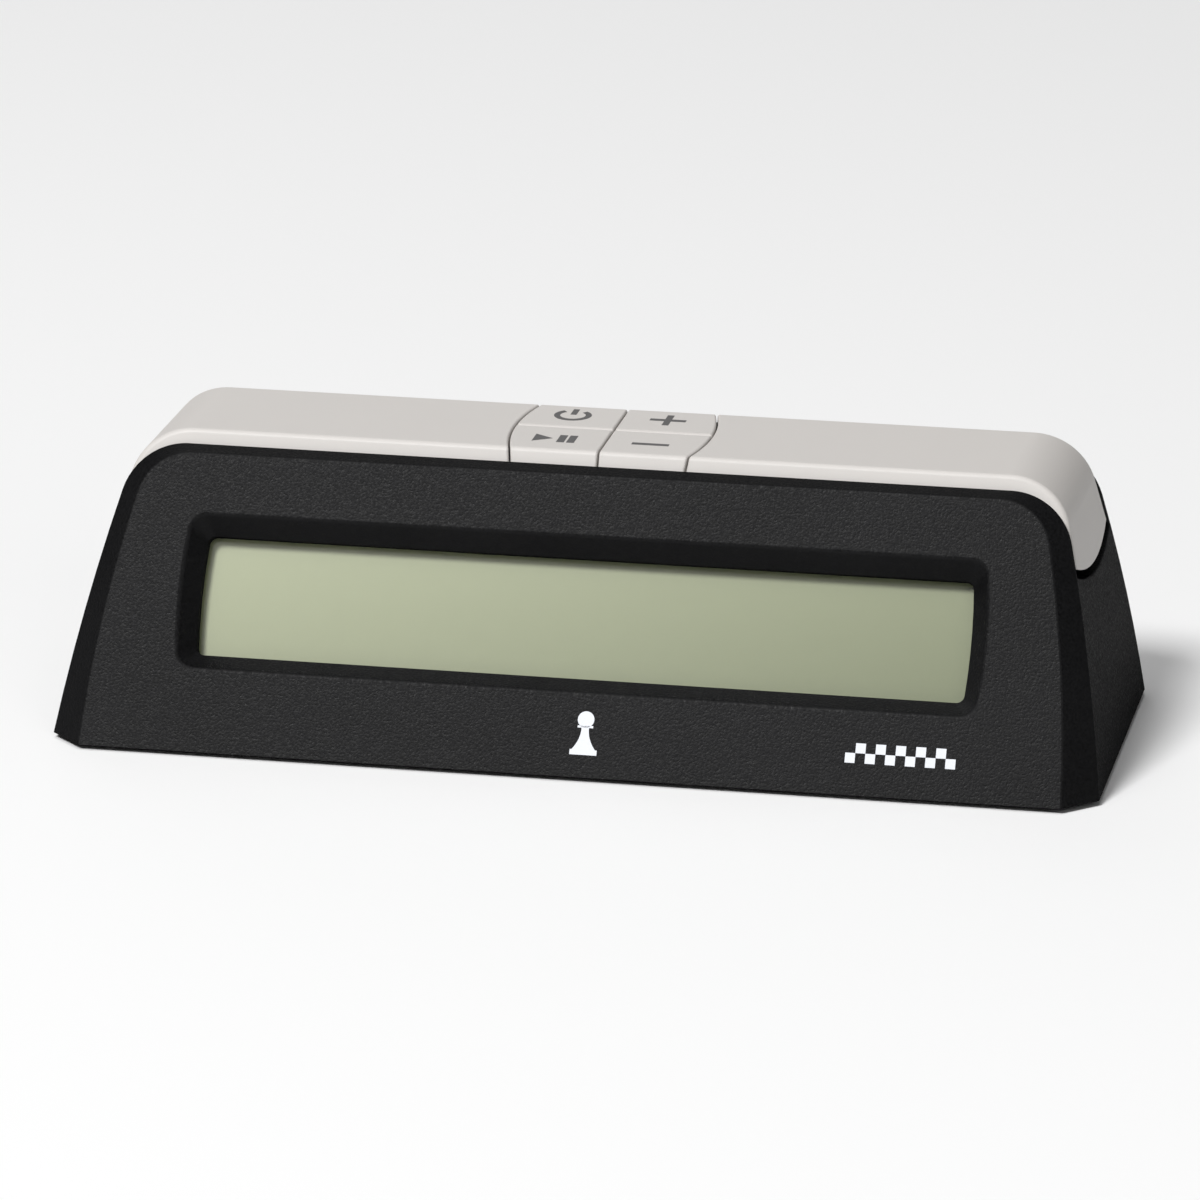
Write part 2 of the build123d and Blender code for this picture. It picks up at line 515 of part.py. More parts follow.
with BuildPart() as elastomer_connectors:
    zebra_deep = BOARD_DEPTH - LCD_DEPTH - LCD_THICK
    for low in (ZEBRA_LOW, ZEBRA_HIGH):
        screen_block(LCD_DEPTH + LCD_THICK, zebra_deep, GLASS_HALF - 6, low, low + ZEBRA_THICK)
save(elastomer_connectors, "elastomer_connectors")


# ---------------------------------------------------------------- main board and what is on it
BOARD_BACK = BOARD_DEPTH + BOARD_THICK

with BuildPart() as main_board:
    screen_block(BOARD_DEPTH, BOARD_THICK, 65.0, 10.6, 35.4)
    pins(screen(BOARD_DEPTH), BOARD_POSTS, SMALL_SCREW_R + 0.15, -BOARD_THICK, Mode.SUBTRACT)
save(main_board, "main_board")

with BuildPart() as main_board_screws:
    pins(screen(BOARD_BACK), BOARD_POSTS, 1.8, -1.1)
    pins(screen(BOARD_BACK), BOARD_POSTS, SMALL_SCREW_R, BOARD_THICK + 4.5)
    pins(screen(BOARD_BACK + 1.1), BOARD_POSTS, 0.7, 0.6, Mode.SUBTRACT)
save(main_board_screws, "main_board_screws")

CHIP = (-20.0, 23.0)
CHIP_HALF, PIN_PITCH, PINS_A_SIDE = 5.0, 0.8, 11
with BuildPart() as controller_chip:
    with BuildSketch(screen(BOARD_BACK + 0.1)):
        with Locations(CHIP):
            RectangleRounded(2 * CHIP_HALF, 2 * CHIP_HALF, 0.3)
    extrude(amount=-1.4)
    with BuildSketch(screen(BOARD_BACK)):
        with Locations(CHIP):
            with GridLocations(PIN_PITCH, 2 * CHIP_HALF + 0.4, PINS_A_SIDE, 2):
                Rectangle(0.35, 1.6)
            with GridLocations(2 * CHIP_HALF + 0.4, PIN_PITCH, 2, PINS_A_SIDE):
                Rectangle(1.6, 0.35)
    extrude(amount=-0.3)
save(controller_chip, "controller_chip")

with BuildPart() as clock_crystal:
    with BuildSketch(screen(BOARD_BACK)):
        with Locations((-5.0, 23.0)):
            SlotOverall(9.0, 3.6)
    extrude(amount=-3.2)
    fillet(clock_crystal.faces().sort_by(Axis.Y)[-1].edges(), 0.5)
save(clock_crystal, "clock_crystal")

with BuildPart() as capacitors:
    pins(screen(BOARD_BACK), [(10, 20), (18, 20)], 2.5, -6.0)
    with BuildSketch(screen(BOARD_BACK)):
        with Locations((12, 29)):
            with GridLocations(4.0, 0, 5, 1):
                Rectangle(1.0, 2.0)
    extrude(amount=-0.8)
save(capacitors, "capacitors")

BUZZER = (44.0, 22.0)
with BuildPart() as piezo_buzzer:
    pins(screen(BOARD_BACK), [BUZZER], 6.0, -5.0)
    fillet(piezo_buzzer.edges().sort_by(Axis.Y)[-1], 0.4)
    pins(screen(BOARD_BACK + 5.0), [BUZZER], 1.2, 2.0, Mode.SUBTRACT)
save(piezo_buzzer, "piezo_buzzer")


# ---------------------------------------------------------------- switch board under the lever
SWITCH_BOARD_THICK = 1.2
BOARD_FRONT, BOARD_REAR = 0.4, 17.6
SWITCH_HALF, TIP_R = 3.0, 1.7


def tact_switches(points, name):
    """Square push switches with a round plunger, standing on the switch board."""
    with BuildPart() as switches:
        with BuildSketch(level(SWITCH_BOARD_TOP)):
            with Locations(points):
                RectangleRounded(2 * SWITCH_HALF, 2 * SWITCH_HALF, 0.4)
        extrude(amount=SWITCH_BODY)
        pins(level(SWITCH_BOARD_TOP + SWITCH_BODY), points, TIP_R, SWITCH_TIP - SWITCH_BODY)
    save(switches, name)


with BuildPart() as switch_board:
    bar((-50, 50), (BOARD_FRONT, BOARD_REAR), (SWITCH_BOARD_TOP - SWITCH_BOARD_THICK, SWITCH_BOARD_TOP))
    pins(level(SWITCH_BOARD_TOP), HANGERS, SMALL_SCREW_R + 0.15, -SWITCH_BOARD_THICK, Mode.SUBTRACT)
save(switch_board, "switch_board")

with BuildPart() as switch_board_screws:
    under = SWITCH_BOARD_TOP - SWITCH_BOARD_THICK
    pins(level(under), HANGERS, 1.8, -1.1)
    pins(level(under), HANGERS, SMALL_SCREW_R, SWITCH_BOARD_THICK + 4.5)
    pins(level(under - 1.1), HANGERS, 0.7, 0.6, Mode.SUBTRACT)
save(switch_board_screws, "switch_board_screws")

tact_switches(STEMS, "button_switches")
tact_switches(PUSHERS, "lever_switches")

with BuildPart() as board_link:
    start = screen(BOARD_BACK).from_local_coords((0, 33.2, 0))
    with BuildSketch(Plane.YZ.offset(-8)):
        with BuildLine():
            solder = Vector(start.Y, start.Z)
            away = Vector(1, -FACE_LEAN).normalized()
            edge = Vector(BOARD_FRONT + 1.5, FOOT_RISE + SWITCH_BOARD_TOP - SWITCH_BOARD_THICK)
            Polyline(solder + away * 0.1, solder + away * 1.2, edge - Vector(0, 1.2), edge)
        trace(line_width=0.3)
    extrude(amount=16)
save(board_link, "board_link")


# ---------------------------------------------------------------- battery and its contacts
with BuildPart() as battery:
    with BuildSketch(Plane.YZ.offset(-CELL_HALF)):
        with Locations((CELL_Y, FOOT_RISE + CELL_H)):
            Circle(CELL_R)
    extrude(amount=2 * CELL_HALF - 1.3)
    fillet(battery.edges().filter_by(GeomType.CIRCLE), 0.5)
    with BuildSketch(Plane.YZ.offset(CELL_HALF - 1.5)):
        with Locations((CELL_Y, FOOT_RISE + CELL_H)):
            Circle(2.7)
    extrude(amount=1.5)
save(battery, "battery")

PLATE = 0.4
TAB_TOP = BAY_ROOF - 2.45
TAB_H = (TAB_TOP - PLATE, TAB_TOP)     # tabs that reach out through the bay's walls
with BuildPart() as contact_plate:
    bar((BAY_RIGHT - PLATE, BAY_RIGHT), (CELL_Y - 5, CELL_Y + 5), (CELL_H - 5, TAB_TOP))
    bar((BAY_RIGHT - PLATE, BAY_RIGHT + 4.0), (CELL_Y - 2.1, CELL_Y + 2.1), TAB_H)
    bar((CELL_HALF + 0.02, BAY_RIGHT - PLATE), (CELL_Y - 2, CELL_Y + 2), (CELL_H - 2, CELL_H + 2))
save(contact_plate, "contact_plate")

with BuildPart() as contact_spring:
    bar((BAY_LEFT, BAY_LEFT + PLATE), (CELL_Y - 5, CELL_Y + 5), (CELL_H - 5, TAB_TOP))
    bar((BAY_LEFT - 4.0, BAY_LEFT + PLATE), (CELL_Y - 2.1, CELL_Y + 2.1), TAB_H)
    reach = -CELL_HALF - BAY_LEFT - PLATE - 0.7
    coil = Helix(reach / 3, reach, 4.2, center=(BAY_LEFT + PLATE + 0.2, CELL_Y, FOOT_RISE + CELL_H),
                 direction=(1, 0, 0), cone_angle=-20)
    with BuildSketch(Plane(coil @ 0, z_dir=coil % 0)) as wire:
        Circle(0.3)
    sweep(wire.sketch, path=coil)
save(contact_spring, "contact_spring")

LEAD_R = 0.6
with BuildPart() as battery_leads:
    for tab_x, board_x in ((BAY_LEFT - 3.0, -38.0), (BAY_RIGHT + 3.0, 28.0)):
        solder = screen(BOARD_BACK + 0.45).from_local_coords((board_x, 20.0, 0))
        tab = Vector(tab_x, CELL_Y, FOOT_RISE + TAB_TOP + LEAD_R)
        points = [
            solder,
            solder + Vector(0, 3.0, 0),
            Vector((board_x + tab_x) / 2, -1.0, (solder.Z + tab.Z) / 2 + 1.0),
            Vector(tab_x, 4.5, tab.Z),
            tab,
        ]
        with BuildLine() as route:
            FilletPolyline(*points, radius=1.2)
        with BuildSketch(Plane(points[0], z_dir=points[1] - points[0])) as core:
            Circle(LEAD_R)
        sweep(core.sketch, path=route.line)
save(battery_leads, "battery_leads")
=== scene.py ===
"""Chess clock: finishes, printed marks, studio and camera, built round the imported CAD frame.

Lengths are in metres.  X runs along the case, Y from the display side to the back, Z up.
"""

import json
from math import cos, pi, radians, sin

import bmesh
import bpy
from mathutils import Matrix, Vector


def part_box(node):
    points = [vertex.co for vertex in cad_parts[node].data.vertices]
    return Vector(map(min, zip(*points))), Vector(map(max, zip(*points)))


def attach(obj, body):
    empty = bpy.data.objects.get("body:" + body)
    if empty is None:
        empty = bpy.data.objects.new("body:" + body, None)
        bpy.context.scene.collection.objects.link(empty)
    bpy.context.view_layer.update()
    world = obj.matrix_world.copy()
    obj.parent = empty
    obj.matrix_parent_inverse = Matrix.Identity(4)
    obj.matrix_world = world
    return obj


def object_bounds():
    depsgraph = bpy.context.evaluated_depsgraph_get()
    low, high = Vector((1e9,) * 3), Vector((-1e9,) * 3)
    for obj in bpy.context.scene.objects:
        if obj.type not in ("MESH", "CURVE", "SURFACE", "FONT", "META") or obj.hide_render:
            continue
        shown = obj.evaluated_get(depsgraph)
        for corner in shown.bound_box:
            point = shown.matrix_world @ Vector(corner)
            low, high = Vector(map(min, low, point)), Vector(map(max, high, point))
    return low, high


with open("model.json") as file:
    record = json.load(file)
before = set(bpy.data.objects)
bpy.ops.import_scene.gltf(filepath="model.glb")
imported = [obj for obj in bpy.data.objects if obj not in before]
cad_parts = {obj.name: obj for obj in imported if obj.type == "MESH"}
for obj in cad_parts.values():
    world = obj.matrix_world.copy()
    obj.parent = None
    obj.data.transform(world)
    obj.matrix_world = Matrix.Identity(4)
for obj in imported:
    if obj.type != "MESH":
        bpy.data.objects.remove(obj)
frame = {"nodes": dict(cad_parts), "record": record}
cad_low, cad_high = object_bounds()
nodes = frame["nodes"]
MM = 0.001


# ---------------------------------------------------------------- colours
def linear(red, green, blue):
    """Display colour, 0-255, as the linear colour that a shader takes."""
    def channel(value):
        value /= 255
        return value / 12.92 if value <= 0.04045 else ((value + 0.055) / 1.055) ** 2.4
    return channel(red), channel(green), channel(blue), 1.0


def scaled(colour, share):
    """A darker or lighter version of a linear colour."""
    return tuple(share * value for value in colour[:3]) + (1.0,)


# ---------------------------------------------------------------- node helpers
class Finish:
    """A Principled material and the few node patterns that the finishes share."""

    def __init__(self, name, roughness, metallic=0.0, specular=0.5):
        self.material = bpy.data.materials.new(name)
        self.material.use_nodes = True
        self.tree = self.material.node_tree
        self.shader = self.tree.nodes["Principled BSDF"]
        self.shader.inputs["Roughness"].default_value = roughness
        self.shader.inputs["Metallic"].default_value = metallic
        self.shader.inputs["Specular IOR Level"].default_value = specular
        self.place = self.tree.nodes.new("ShaderNodeTexCoord").outputs["Object"]

    def link(self, source, target):
        self.tree.links.new(source, target)

    def math(self, operation, first, second=0.0):
        node = self.tree.nodes.new("ShaderNodeMath")
        node.operation = operation
        for value, socket in zip((first, second), node.inputs):
            if isinstance(value, (int, float)):
                socket.default_value = value
            else:
                self.link(value, socket)
        return node.outputs[0]

    def stretched(self, scale):
        """The place vector, scaled along each axis."""
        node = self.tree.nodes.new("ShaderNodeVectorMath")
        node.operation = "MULTIPLY"
        self.link(self.place, node.inputs[0])
        node.inputs[1].default_value = scale
        return node.outputs[0]

    def noise(self, size, detail=2.0, rough=0.5, stretch=None):
        """Noise whose features are about `size` metres across."""
        node = self.tree.nodes.new("ShaderNodeTexNoise")
        node.inputs["Scale"].default_value = 1 / size
        node.inputs["Detail"].default_value = detail
        node.inputs["Roughness"].default_value = rough
        self.link(self.stretched(stretch) if stretch else self.place, node.inputs["Vector"])
        return node.outputs["Fac"]

    def stripes(self, pitch, axis):
        """Bands across the given axis, 0 to 1, one per pitch."""
        node = self.tree.nodes.new("ShaderNodeTexWave")
        node.wave_type = "BANDS"
        node.bands_direction = axis
        node.inputs["Scale"].default_value = pi / 10 / pitch
        self.link(self.place, node.inputs["Vector"])
        return node.outputs["Fac"]

    def ramp(self, value, stops):
        node = self.tree.nodes.new("ShaderNodeValToRGB")
        elements = node.color_ramp.elements
        while len(elements) < len(stops):
            elements.new(0.5)
        for element, (position, colour) in zip(elements, stops):
            element.position = position
            element.color = colour
        self.link(value, node.inputs["Fac"])
        return node.outputs["Color"]

    def spread(self, value, low, high, start=0.3, end=0.7):
        """A pattern's values between start and end as a range of numbers."""
        node = self.tree.nodes.new("ShaderNodeMapRange")
        node.inputs["From Min"].default_value = start
        node.inputs["From Max"].default_value = end
        node.inputs["To Min"].default_value = low
        node.inputs["To Max"].default_value = high
        self.link(value, node.inputs["Value"])
        return node.outputs["Result"]

    def colour(self, source):
        self.link(source, self.shader.inputs["Base Color"])

    def roughness(self, value, low, high):
        self.link(self.spread(value, low, high), self.shader.inputs["Roughness"])

    def fading_gloss(self, specular):
        """Reflection that dies away at grazing angles, where a coarse grain shades itself."""
        gone = 0.86           # share of the way to edge-on at which no reflection is left
        angle = self.tree.nodes.new("ShaderNodeLayerWeight")
        angle.inputs["Blend"].default_value = 0.5
        fade = self.spread(angle.outputs["Facing"], specular, 0.0, start=0.0, end=gone)
        self.link(fade, self.shader.inputs["Specular IOR Level"])

    def bump(self, height, depth, strength=1.0):
        """Relief of `depth` metres."""
        node = self.tree.nodes.new("ShaderNodeBump")
        node.inputs["Strength"].default_value = strength
        node.inputs["Distance"].default_value = depth
        self.link(height, node.inputs["Height"])
        if self.shader.inputs["Normal"].is_linked:
            self.link(self.shader.inputs["Normal"].links[0].from_socket, node.inputs["Normal"])
        self.link(node.outputs["Normal"], self.shader.inputs["Normal"])


def moulded(name, colour, roughness, grain, depth, mottle=0.12, specular=0.5, sheen=0.05):
    """Moulded plastic or rubber: a fine spark-eroded grain and a faint cloudiness."""
    finish = Finish(name, roughness, specular=specular)
    cloud_share, speck_share = 0.35, 0.65
    cloud = finish.noise(60 * grain, detail=3)
    speck = finish.noise(grain, detail=2, rough=0.6)
    cloudy = finish.math("MULTIPLY", cloud, cloud_share)
    speckled = finish.math("MULTIPLY", speck, speck_share)
    both = finish.math("ADD", cloudy, speckled)
    finish.colour(finish.ramp(both, [
        (0.30, scaled(colour, 1 - mottle)),
        (0.70, scaled(colour, 1 + mottle)),
    ]))
    finish.roughness(speck, roughness - sheen, roughness + sheen)
    finish.bump(speck, depth)
    return finish


def metal(name, colour, roughness, grain, stretch=None):
    """Plated or turned metal with fine drawing lines and dull patches."""
    finish = Finish(name, roughness, metallic=1.0)
    lines = finish.noise(grain, detail=4, rough=0.65, stretch=stretch)
    patches = finish.noise(12 * grain, detail=2)
    finish.colour(finish.ramp(patches, [(0.3, scaled(colour, 0.82)), (0.7, colour)]))
    finish.roughness(lines, roughness - 0.08, roughness + 0.12)
    finish.bump(lines, 0.004 * MM)
    return finish


# ---------------------------------------------------------------- finishes
CASE_BLACK = linear(16, 16, 17)
LEVER_GREY = linear(207, 203, 199)
# the display's colour at the two ends of a painted reflection: lit at the upper left, shaded towards the
# lower right
LCD_PAINTED_LIT = linear(168, 172, 140)
LCD_PAINTED_SHADE = linear(130, 135, 106)
PRINT_WHITE = linear(226, 229, 235)
GLYPH_GREY = linear(92, 91, 91)

CASE_SPECULAR = 0.15
case_black = moulded(
    "case_black", CASE_BLACK, 0.5, 0.36 * MM, 0.08 * MM, mottle=0.55, specular=CASE_SPECULAR, sheen=0.14)
case_black.fading_gloss(CASE_SPECULAR)
base_black = moulded("base_black", linear(38, 38, 40), 0.7, 0.6 * MM, 0.08 * MM, mottle=0.2, specular=0.35)
foot_rubber = moulded("foot_rubber", linear(30, 30, 31), 0.88, 0.3 * MM, 0.03 * MM, specular=0.25)
lever_grey = moulded("lever_grey", LEVER_GREY, 0.48, 0.2 * MM, 0.006 * MM, mottle=0.015)
switch_black = moulded("switch_black", linear(34, 34, 36), 0.5, 0.25 * MM, 0.01 * MM)
chip_black = moulded("chip_black", linear(40, 40, 42), 0.6, 0.15 * MM, 0.01 * MM)
frame_white = moulded("frame_white", linear(226, 226, 220), 0.5, 0.3 * MM, 0.006 * MM, mottle=0.02)
bush_white = moulded("bush_white", linear(232, 230, 222), 0.42, 0.25 * MM, 0.004 * MM, mottle=0.02)
link_white = moulded("link_white", linear(228, 226, 216), 0.45, 0.3 * MM, 0.004 * MM, mottle=0.03)
lead_red = moulded("lead_red", linear(170, 34, 30), 0.42, 0.3 * MM, 0.004 * MM, mottle=0.06)
capacitor_sleeve = moulded("capacitor_sleeve", linear(28, 42, 92), 0.35, 0.3 * MM, 0.003 * MM)
print_white = moulded("print_white", PRINT_WHITE, 0.55, 0.12 * MM, 0.004 * MM, mottle=0.03)
glyph_grey = moulded("glyph_grey", GLYPH_GREY, 0.55, 0.12 * MM, 0.004 * MM, mottle=0.06)
screw_steel = metal("screw_steel", linear(176, 178, 182), 0.32, 0.2 * MM)
spring_steel = metal("spring_steel", linear(190, 192, 196), 0.28, 0.15 * MM)
contact_nickel = metal("contact_nickel", linear(206, 202, 190), 0.3, 0.4 * MM, stretch=(8, 1, 1))
crystal_can = metal("crystal_can", linear(200, 202, 206), 0.25, 0.4 * MM, stretch=(8, 1, 1))


def board_finish():
    """Solder-masked fibreglass: copper tracks show as a lighter green."""
    finish = Finish("board_green", 0.35)
    tracks = finish.tree.nodes.new("ShaderNodeTexBrick")
    tracks.inputs["Scale"].default_value = 1 / (9 * MM)
    tracks.inputs["Mortar Size"].default_value = 0.03
    tracks.inputs["Color1"].default_value = linear(22, 74, 44)
    tracks.inputs["Color2"].default_value = linear(25, 80, 48)
    tracks.inputs["Mortar"].default_value = linear(52, 118, 70)
    finish.link(finish.place, tracks.inputs["Vector"])
    finish.colour(tracks.outputs["Color"])
    weave = finish.noise(0.5 * MM, detail=2)
    finish.roughness(weave, 0.28, 0.42)
    finish.bump(tracks.outputs["Fac"], 0.03 * MM, 0.6)
    return finish


def zebra_finish():
    """Elastomer connector: thin black conductive layers in pink-grey rubber."""
    finish = Finish("zebra_rubber", 0.7)
    layers = finish.stripes(0.5 * MM, "X")
    finish.colour(finish.ramp(layers, [(0.45, linear(206, 176, 172)), (0.55, linear(36, 36, 38))]))
    finish.bump(layers, 0.01 * MM)
    return finish


def cell_finish():
    """Printed sleeve of an AA cell: dark body and a copper-coloured positive end."""
    finish = Finish("cell_sleeve", 0.3)
    low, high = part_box("battery")
    length = high.x - low.x
    split = finish.tree.nodes.new("ShaderNodeSeparateXYZ")
    finish.link(finish.place, split.inputs[0])
    along = finish.math("DIVIDE", finish.math("SUBTRACT", split.outputs["X"], low.x), length)
    finish.colour(finish.ramp(along, [
        (0.00, linear(40, 42, 46)),
        (0.72, linear(40, 42, 46)),
        (0.725, linear(186, 120, 72)),
        (0.955, linear(186, 120, 72)),
        (0.96, linear(200, 200, 200)),
    ]))
    wrap = finish.noise(1.2 * MM, detail=3, stretch=(0.1, 1, 1))
    finish.roughness(wrap, 0.24, 0.38)
    finish.bump(wrap, 0.01 * MM)
    return finish


def lcd_finish():
    """Reflective display glass: a green-grey colour with a painted reflection, lighter at the upper left
    and darker towards the lower right, a slight random unevenness and a faint satin texture.
    """
    finish = Finish("lcd_glass", 0.5, specular=0.2)
    low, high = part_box("lcd_panel")
    split = finish.tree.nodes.new("ShaderNodeSeparateXYZ")
    finish.link(finish.place, split.inputs[0])
    across = finish.math("DIVIDE", finish.math("SUBTRACT", split.outputs["X"], low.x), high.x - low.x)
    down = finish.math("DIVIDE", finish.math("SUBTRACT", high.z, split.outputs["Z"]), high.z - low.z)
    across_share, down_share, satin_share = 0.6, 0.4, 0.08
    # painted reflection: the colour runs from lit at the upper left to shaded at the lower right, with a
    # slight random unevenness added
    painted_reflection = finish.math(
        "ADD", finish.math("MULTIPLY", across, across_share), finish.math("MULTIPLY", down, down_share))
    satin = finish.noise(0.35 * MM, detail=2)
    uneven = finish.math("MULTIPLY", finish.math("SUBTRACT", satin, 0.5), satin_share)
    tint_and_painted_reflection = finish.math("ADD", painted_reflection, uneven)
    finish.colour(finish.ramp(tint_and_painted_reflection, [
        (0.10, LCD_PAINTED_LIT),
        (0.95, LCD_PAINTED_SHADE),
    ]))
    finish.roughness(satin, 0.45, 0.55)
    finish.bump(satin, 0.004 * MM)
    return finish


def lens_finish():
    """Clear acrylic pane with a hard anti-glare coat: it shows what is behind it."""
    finish = Finish("clear_lens", 0.3)
    clear = finish.tree.nodes.new("ShaderNodeBsdfTransparent")
    clear.inputs["Color"].default_value = (0.985, 0.99, 0.985, 1)
    gloss = finish.tree.nodes.new("ShaderNodeBsdfAnisotropic")
    gloss.inputs["Roughness"].default_value = 0.3
    coat = finish.noise(0.25 * MM, detail=2)
    relief = finish.tree.nodes.new("ShaderNodeBump")
    relief.inputs["Distance"].default_value = 0.002 * MM
    finish.link(coat, relief.inputs["Height"])
    finish.link(relief.outputs["Normal"], gloss.inputs["Normal"])
    share = finish.tree.nodes.new("ShaderNodeFresnel")
    share.inputs["IOR"].default_value = 1.3
    mix = finish.tree.nodes.new("ShaderNodeMixShader")
    finish.link(share.outputs["Fac"], mix.inputs[0])
    finish.link(clear.outputs["BSDF"], mix.inputs[1])
    finish.link(gloss.outputs["BSDF"], mix.inputs[2])
    finish.link(mix.outputs["Shader"], finish.tree.nodes["Material Output"].inputs["Surface"])
    return finish


FINISHES = {
    "case_black": case_black, "base_black": base_black, "foot_rubber": foot_rubber,
    "lever_grey": lever_grey, "switch_black": switch_black, "chip_black": chip_black,
    "frame_white": frame_white, "bush_white": bush_white, "link_white": link_white,
    "lead_red": lead_red, "capacitor_sleeve": capacitor_sleeve, "screw_steel": screw_steel,
    "spring_steel": spring_steel, "contact_nickel": contact_nickel, "crystal_can": crystal_can,
    "board_green": board_finish(), "zebra_rubber": zebra_finish(), "cell_sleeve": cell_finish(),
    "lcd_glass": lcd_finish(), "clear_lens": lens_finish(),
}

for part in frame["record"]["subparts"]:
    mesh_object = nodes[part["node"]]
    for holder in mesh_object.material_slots:
        holder.material = FINISHES[part["material_slot"]].material


# ---------------------------------------------------------------- printed marks
PRINT_THICK = 0.03 * MM
PRINT_SUNK = 0.01 * MM


def display_face():
    """A point of the display face's lower edge, at the middle, and the face's frame: along, up, out."""
    mesh = nodes["front_housing"].data
    largest = max((face for face in mesh.polygons if face.normal.y < -0.5), key=lambda face: face.area)
    out = largest.normal.normalized()
    along = Vector((1, 0, 0))
    up = out.cross(along).normalized()
    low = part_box("front_housing")[0]
    corner = mesh.vertices[largest.vertices[0]].co
    foot = corner - up * ((corner.z - low.z) / up.z)
    foot.x = 0
    return foot, along, up, out


def cap_top(node):
    """The frame of a button's top face, over the object's origin."""
    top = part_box(node)[1].z
    return Vector((0, 0, top)), Vector((1, 0, 0)), Vector((0, 1, 0)), Vector((0, 0, 1))


def ring_points(centre, radius, start, end, steps):
    """Points on an arc, by angle in degrees."""
    angles = [radians(start + (end - start) * step / steps) for step in range(steps + 1)]
    return [(centre[0] + radius * cos(a), centre[1] + radius * sin(a)) for a in angles]


def ring(centre, outer, inner, start=0.0, end=360.0, steps=48):
    """Outline of an arc with square ends."""
    return ring_points(centre, outer, start, end, steps) + ring_points(centre, inner, end, start, steps)


def bar(centre, width, height):
    """Outline of an upright rectangle."""
    x, y = centre
    return [(x - width / 2, y - height / 2), (x + width / 2, y - height / 2),
            (x + width / 2, y + height / 2), (x - width / 2, y + height / 2)]


def printed(name, outlines, surface, body, finish):
    """Ink film: flat outlines in millimetres on a surface, given a real thickness."""
    origin, along, up, out = surface
    film = bmesh.new()
    for outline in outlines:
        corners = [origin + MM * (x * along + y * up) for x, y in outline]
        lower = [film.verts.new(corner - PRINT_SUNK * out) for corner in corners]
        upper = [film.verts.new(corner + PRINT_THICK * out) for corner in corners]
        film.faces.new(upper)
        film.faces.new(lower[::-1])
        for i in range(len(corners)):
            j = (i + 1) % len(corners)
            film.faces.new((lower[i], lower[j], upper[j], upper[i]))
    film.normal_update()
    bmesh.ops.triangulate(film, faces=film.faces[:])
    mesh = bpy.data.meshes.new(name)
    film.to_mesh(mesh)
    film.free()
    mesh.materials.append(finish.material)
    piece = bpy.data.objects.new(name, mesh)
    bpy.context.scene.collection.objects.link(piece)
    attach(piece, body)


STROKE = 1.0

# power: an open ring and the bar in its gap
POWER, POWER_R = (-7.4, 14.2), 2.8
HALF_GAP = 38             # degrees each side of the bar
power_stroke = 0.9 * STROKE
power_marks = [
    ring(POWER, POWER_R, POWER_R - power_stroke, 90 + HALF_GAP, 450 - HALF_GAP),
    bar((POWER[0], POWER[1] + 1.7), power_stroke, 2.8),
]
printed("power_mark", power_marks, cap_top("power_button"), "power_key", glyph_grey)

# plus: one outline, so that its arms don't overlap
PLUS = (6.9, 14.3)
ARM_X, ARM_Y, HALF_STROKE = 2.7, 2.6, STROKE / 2
quarter = [(ARM_X, -HALF_STROKE), (ARM_X, HALF_STROKE), (HALF_STROKE, HALF_STROKE),
           (HALF_STROKE, ARM_Y), (-HALF_STROKE, ARM_Y), (-HALF_STROKE, HALF_STROKE),
           (-ARM_X, HALF_STROKE), (-ARM_X, -HALF_STROKE), (-HALF_STROKE, -HALF_STROKE),
           (-HALF_STROKE, -ARM_Y), (HALF_STROKE, -ARM_Y), (HALF_STROKE, -HALF_STROKE)]
plus_marks = [[(PLUS[0] + x, PLUS[1] + y) for x, y in quarter]]
printed("plus_mark", plus_marks, cap_top("plus_button"), "plus_key", glyph_grey)

# play and pause
PLAY_X, PLAY_Y, MARK_HIGH = -9.3, 1.9, 3.6
TRIANGLE, PAUSE_BAR, PAUSE_PITCH = 2.8, 1.15, 1.5
pause_x = PLAY_X + TRIANGLE
play_marks = [
    [(PLAY_X - TRIANGLE / 2, PLAY_Y - MARK_HIGH / 2), (PLAY_X + TRIANGLE / 2, PLAY_Y),
     (PLAY_X - TRIANGLE / 2, PLAY_Y + MARK_HIGH / 2)],
    bar((pause_x, PLAY_Y), PAUSE_BAR, MARK_HIGH),
    bar((pause_x + PAUSE_PITCH, PLAY_Y), PAUSE_BAR, MARK_HIGH),
]
play_surface = cap_top("play_pause_button")
printed("play_pause_mark", play_marks, play_surface, "play_pause_key", glyph_grey)

# minus
MINUS, MINUS_LONG = (6.7, 1.6), 5.5
minus_marks = [bar(MINUS, MINUS_LONG, STROKE)]
printed("minus_mark", minus_marks, cap_top("minus_button"), "minus_key", glyph_grey)


def pawn(centre_x, foot, height):
    """Plain pawn seen from the side: base, flared body, collar and round head."""
    base_high, neck_h, head_r = 0.12 * height, 0.62 * height, 0.19 * height
    wide, slim = 0.27 * height, 0.085 * height
    steps = 12
    flare = [
        (slim + (wide - slim) * (1 - step / steps) ** 2.2,
         foot + base_high + (neck_h - base_high) * step / steps)
        for step in range(steps + 1)
    ]
    foot_step = [(1.15 * wide, foot), (1.15 * wide, foot + base_high)]
    side = foot_step + flare
    collar = 0.05 * height
    collar_wide = 2.1 * slim
    side += [
        (collar_wide, foot + neck_h),
        (collar_wide, foot + neck_h + collar),
        (slim, foot + neck_h + collar),
    ]
    outline = [(centre_x + x, y) for x, y in side] + [(centre_x - x, y) for x, y in reversed(side)]
    corners = 30
    head_centre = (centre_x, foot + height - head_r)
    head = ring_points(head_centre, head_r, 0, 360 - 360 / corners, corners - 1)
    return [outline, head]


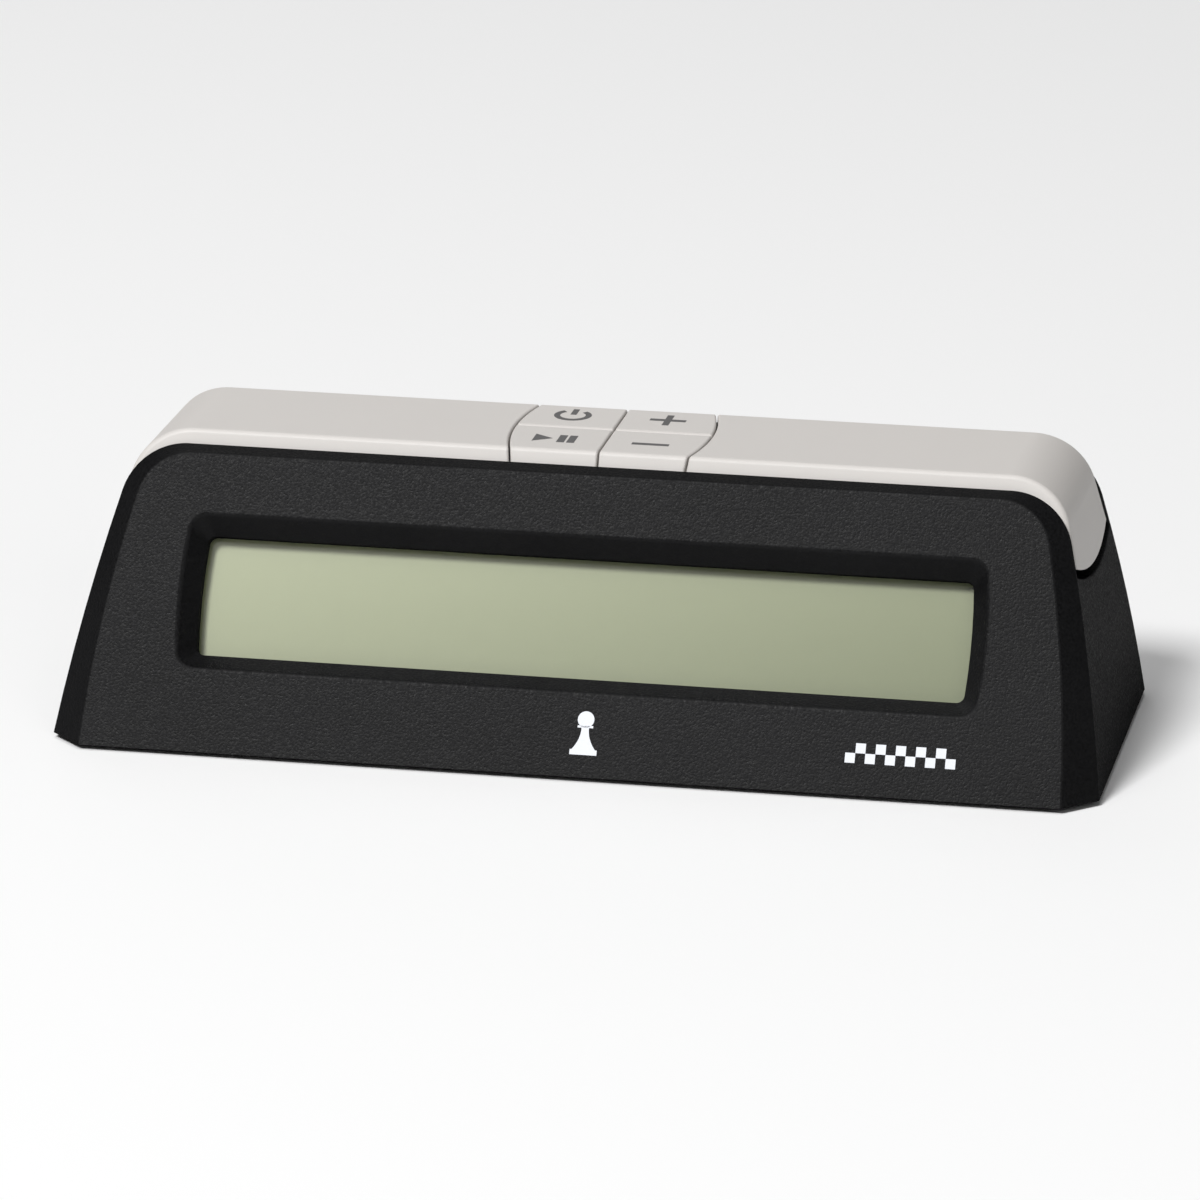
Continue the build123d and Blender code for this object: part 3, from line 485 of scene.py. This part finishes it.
def checker(left, foot, square, columns, rows):
    """Alternate squares of a small board pattern."""
    return [
        bar((left + (column + 0.5) * square, foot + (row + 0.5) * square), square, square)
        for row in range(rows) for column in range(columns) if (row + column) % 2 == 0
    ]


face = display_face()
emblem = pawn(centre_x=2.6, foot=3.3, height=6.4)
strip = checker(left=40.6, foot=4.7, square=1.45, columns=11, rows=2)
printed("pawn_emblem", emblem, face, "case", print_white)
printed("checker_strip", strip, face, "case", print_white)


# ---------------------------------------------------------------- studio
def plain_material(name, colour, roughness):
    """One even colour, for the studio only."""
    finish = Finish(name, roughness)
    finish.shader.inputs["Base Color"].default_value = colour
    return finish.material


def studio_floor():
    """Pale flat sheet under the object, with rounded corners."""
    reach, corner = 3.0, 1.0
    outline = []
    for quarter, (x, y) in enumerate(((1, 1), (-1, 1), (-1, -1), (1, -1))):
        centre = (x * (reach - corner), y * (reach - corner))
        outline += ring_points(centre, corner, 90 * quarter, 90 * quarter + 90, 12)
    sheet = bmesh.new()
    sheet.faces.new([sheet.verts.new((x, y, 0)) for x, y in outline])
    mesh = bpy.data.meshes.new("studio_floor")
    sheet.to_mesh(mesh)
    sheet.free()
    mesh.materials.append(plain_material("studio_white", linear(247, 247, 247), 0.9))
    floor = bpy.data.objects.new("studio_floor", mesh)
    bpy.context.scene.collection.objects.link(floor)


def aim(thing, target):
    """Turn a lamp or a camera to look at a point."""
    thing.rotation_euler = (target - thing.location).to_track_quat("-Z", "Y").to_euler()


def ray(azimuth, elevation):
    """Unit vector out from the object; azimuth in degrees from the display side towards +X."""
    azimuth, elevation = radians(azimuth), radians(elevation)
    return Vector((sin(azimuth) * cos(elevation), -cos(azimuth) * cos(elevation), sin(elevation)))


def soft_light(name, azimuth, elevation, distance, size, power):
    """Square area lamp that shines at the middle of the object."""
    middle = (cad_low + cad_high) / 2
    lamp = bpy.data.lights.new(name, "AREA")
    lamp.shape = "SQUARE"
    lamp.size = size
    lamp.energy = power
    light = bpy.data.objects.new(name, lamp)
    light.location = middle + distance * ray(azimuth, elevation)
    bpy.context.scene.collection.objects.link(light)
    aim(light, middle)


studio_floor()
soft_light("key", -28, 50, 3.4, 0.85, 95.0)
soft_light("fill", 38, 30, 1.8, 0.9, 3.0)
soft_light("overhead", -60, 80, 2.6, 1.6, 19.0)
soft_light("back", -160, 32, 2.0, 1.0, 2.5)

world = bpy.data.worlds.new("studio_world")
world.use_nodes = True
backdrop = world.node_tree.nodes["Background"]
backdrop.inputs["Color"].default_value = (1, 1, 1, 1)
backdrop.inputs["Strength"].default_value = 0.08
bpy.context.scene.world = world

# ---------------------------------------------------------------- camera
AZIMUTH, ELEVATION = 11.36, 17.77
DISTANCE = 1.0657
SENSOR = 36.0
LENS = 217.66
TARGET = Vector((-0.57, 0.5, 17.96)) * MM

camera = bpy.data.objects.new("camera", bpy.data.cameras.new("camera"))
camera.data.sensor_width = SENSOR
camera.data.lens = LENS
camera.data.clip_start = 0.01
camera.location = TARGET + DISTANCE * ray(AZIMUTH, ELEVATION)
bpy.context.scene.collection.objects.link(camera)
aim(camera, TARGET)
bpy.context.scene.camera = camera
bpy.context.scene.view_settings.view_transform = "Standard"
